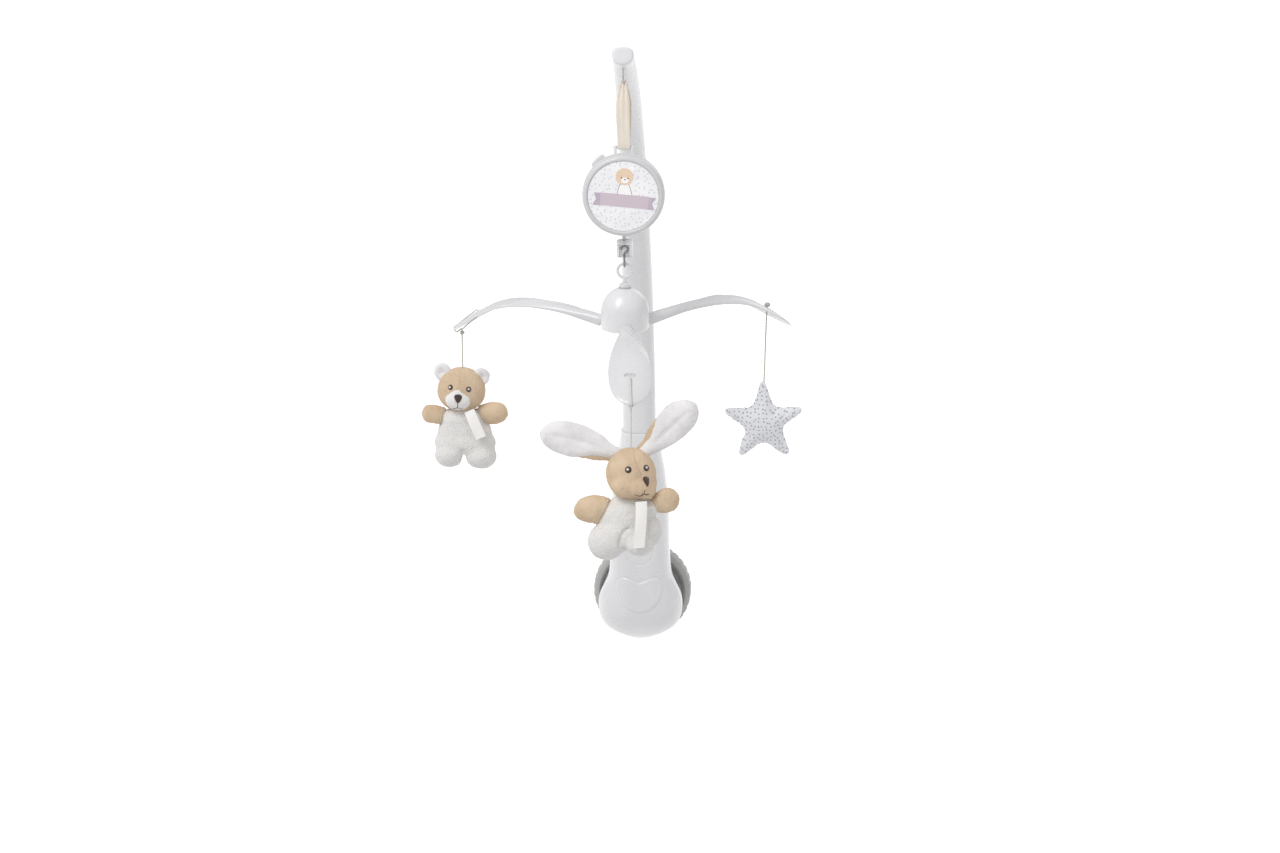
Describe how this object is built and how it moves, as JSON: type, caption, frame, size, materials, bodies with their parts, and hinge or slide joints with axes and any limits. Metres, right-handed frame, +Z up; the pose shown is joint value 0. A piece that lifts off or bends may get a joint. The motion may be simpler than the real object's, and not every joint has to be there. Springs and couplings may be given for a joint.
{
  "type": "crib mobile",
  "caption": "Clamp-on crib mobile: pear-shaped clamp base, curved arm, wind-up music box on a ribbon, and a turning spider with a plush bear, star and bunny",
  "frame": {"origin": "on the rear face of the base's rubber clamp pad, on the stand's centre plane and 35 mm above the clamp stud's axis", "axes": "+Z up; +Y out of the clamp pad toward the crib rail; -Y toward the hanging toys, which is the front; +X to the viewer's right"},
  "size_m": [0.3514, 0.5414, 0.6598],
  "materials": {
    "shell": "satin white moulded plastic",
    "clear": "translucent white plastic",
    "ring": "pale grey moulded plastic",
    "label": "printed plastic disc",
    "grey": "grey moulded plastic",
    "rubber": "matt rubber",
    "steel": "bright steel",
    "brass": "turned brass",
    "beige_plush": "short beige plush",
    "white_plush": "off-white boucle plush",
    "star_cloth": "dotted cotton",
    "ribbon": "woven tape",
    "tag": "blank sewn label",
    "thread": "twisted cord"
  },
  "bodies": {
    "stand": {"base_front_shell": "shell", "base_rear_shell": "shell", "clamp_pad": "rubber", "clamp_stud": "steel", "shell_screw_1": "steel", "shell_screw_2": "steel", "curved_arm": "shell", "arm_end_cap": "shell", "hang_hook": "steel"},
    "pressure_pad": {"nut_pad": "rubber"},
    "nut": {"clamp_nut": "grey"},
    "ribbon_strap": {"ribbon": "ribbon"},
    "music_box": {"music_box_rear_case": "shell", "music_box_ring": "ring", "music_box_face": "label", "movement_plate": "steel", "comb": "steel"},
    "key": {"winding_key": "shell"},
    "barrel": {"spring_barrel": "brass"},
    "drum": {"pinned_drum": "brass"},
    "spider": {"output_shaft": "steel", "swivel_block": "clear", "swivel_hook": "steel", "hub_eye": "clear", "hub_dome": "shell", "hub_floor": "shell", "arm_front": "shell", "arm_right": "shell", "arm_left": "shell", "loop_bear": "thread", "loop_bunny": "thread", "knot_star": "thread"},
    "bear_line": {"knot_bear": "thread", "string_bear": "thread"},
    "bear": {"bear_head": "beige_plush", "bear_body": "white_plush", "bear_tag": "tag"},
    "star_line": {"string_star": "thread"},
    "star": {"star_cushion": "star_cloth"},
    "bunny_line": {"knot_bunny": "thread", "string_bunny": "thread"},
    "bunny": {"bunny_head": "beige_plush", "bunny_body": "white_plush", "bunny_tag": "tag"}
  },
  "joints": [
    {"name": "nut_slide", "type": "slide", "parent": "stand", "child": "pressure_pad", "axis": [0, 1, 0], "range_m": [-0.015, 0.018]},
    {"name": "nut_spin", "type": "hinge", "parent": "pressure_pad", "child": "nut", "pos_m": [0, 0.03, -0.035], "axis": [0, 1, 0], "range_deg": [-1801, 2161]},
    {"name": "ribbon_sway", "type": "hinge", "parent": "stand", "child": "ribbon_strap", "pos_m": [0, -0.28, 0.541], "axis": [0, 1, 0], "range_deg": [-12, 12]},
    {"name": "music_box_nod", "type": "hinge", "parent": "ribbon_strap", "child": "music_box", "pos_m": [0, -0.28, 0.4842], "axis": [-1, 0, 0], "range_deg": [-10, 10]},
    {"name": "key_wind", "type": "hinge", "parent": "music_box", "child": "key", "pos_m": [0, -0.262, 0.443], "axis": [0, 1, 0], "continuous": true},
    {"name": "spider_turn", "type": "hinge", "parent": "music_box", "child": "spider", "pos_m": [0, -0.28, 0.4], "axis": [0, 0, 1], "continuous": true},
    {"name": "barrel_turn", "type": "hinge", "parent": "music_box", "child": "barrel", "pos_m": [0, -0.28, 0.443], "axis": [0, 1, 0], "continuous": true},
    {"name": "drum_turn", "type": "hinge", "parent": "music_box", "child": "drum", "pos_m": [-0.0182, -0.282, 0.443], "axis": [0, 1, 0], "continuous": true},
    {"name": "bear_swing", "type": "hinge", "parent": "spider", "child": "bear_line", "pos_m": [-0.15479, -0.20617, 0.2959], "axis": [-0.4305, -0.9026, 0], "range_deg": [-20, 20]},
    {"name": "bear_twist", "type": "hinge", "parent": "bear_line", "child": "bear", "pos_m": [-0.15479, -0.20617, 0.2759], "axis": [0, 0, 1], "range_deg": [-60, 60]},
    {"name": "star_swing", "type": "hinge", "parent": "spider", "child": "star_line", "pos_m": [0.12733, -0.19249, 0.3164], "axis": [-0.5664, 0.8241, 0], "range_deg": [-20, 20]},
    {"name": "star_twist", "type": "hinge", "parent": "star_line", "child": "star", "pos_m": [0.12733, -0.19249, 0.2964], "axis": [0, 0, 1], "range_deg": [-60, 60]},
    {"name": "bunny_swing", "type": "hinge", "parent": "spider", "child": "bunny_line", "pos_m": [0.01346, -0.45097, 0.2959], "axis": [0.9969, 0.0785, 0], "range_deg": [-20, 20]},
    {"name": "bunny_twist", "type": "hinge", "parent": "bunny_line", "child": "bunny", "pos_m": [0.01346, -0.45097, 0.2759], "axis": [0, 0, 1], "range_deg": [-45, 45]}
  ],
  "couplings": [
    {"joint": "nut_spin", "follows": "nut_slide", "rad_per_m": 2094.4},
    {"joint": "barrel_turn", "follows": "spider_turn", "ratio": 0.7},
    {"joint": "drum_turn", "follows": "spider_turn", "ratio": -1.3}
  ]
}
